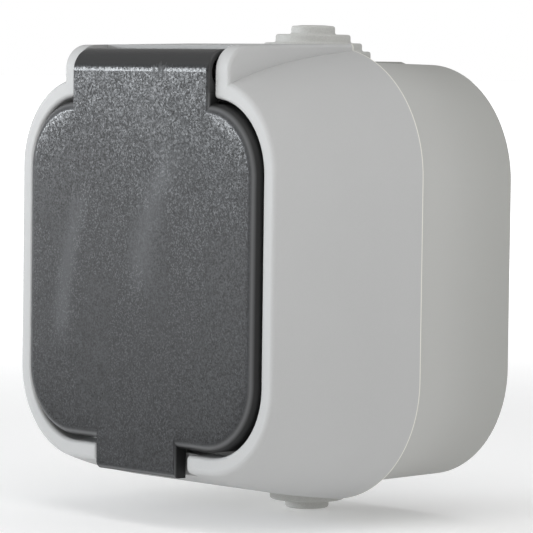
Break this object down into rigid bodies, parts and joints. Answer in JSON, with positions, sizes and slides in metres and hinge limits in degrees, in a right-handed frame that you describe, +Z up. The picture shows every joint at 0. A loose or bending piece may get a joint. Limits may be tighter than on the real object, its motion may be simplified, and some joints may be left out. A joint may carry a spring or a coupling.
{
  "type": "outdoor wall socket",
  "caption": "Surface-mounted weatherproof wall socket: flared housing over a rear box, stepped cable grommets and a sprung flap lid over a round earthed plug recess.",
  "frame": {"origin": "centre of the rear box's flat back, where it meets the wall", "axes": "+Y into the wall, so the lid faces -Y; +X to the right seen from the front; +Z up"},
  "size_m": [0.076, 0.0526, 0.084],
  "materials": {
    "box_plastic": "pale warm grey, fine matte grain",
    "housing_plastic": "pale grey, fine matte grain",
    "lid_plastic": "dark grey, spark-eroded grain on the face, smoother edges",
    "grommet_rubber": "pale grey soft rubber",
    "seal_rubber": "black foam rubber",
    "dish_plastic": "pale grey, satin",
    "carrier_plastic": "off-white, matte",
    "plated_steel": "zinc plated",
    "spring_steel": "drawn wire",
    "contact_brass": "plain brass",
    "earth_metal": "tinned brass"
  },
  "bodies": {
    "housing": {"rear_box": "box_plastic", "top_grommet": "grommet_rubber", "bottom_grommet": "grommet_rubber", "joint_gasket": "seal_rubber", "front_housing": "housing_plastic", "housing_screws": "plated_steel", "socket_dish": "dish_plastic", "dish_seal": "seal_rubber", "centre_screw": "plated_steel", "contact_carrier": "carrier_plastic", "support_ring": "plated_steel", "support_screws": "plated_steel", "carrier_rivets": "plated_steel", "live_contact_left": "contact_brass", "live_contact_right": "contact_brass", "terminal_block_left": "contact_brass", "terminal_block_right": "contact_brass", "earth_bar": "earth_metal", "earth_terminal_block": "contact_brass", "terminal_screws": "plated_steel", "hinge_pin": "plated_steel", "torsion_spring": "spring_steel"},
    "lid": {"lid": "lid_plastic", "lid_gasket": "seal_rubber"}
  },
  "joints": [
    {"name": "lid_hinge", "type": "hinge", "parent": "housing", "child": "lid", "pos_m": [0, -0.0488, 0.03365], "axis": [-1, 0, 0], "range_deg": [0, 120], "stiffness_Nm_per_rad": 0.03, "springref_deg": -34.38, "deforming": ["torsion_spring"]}
  ]
}
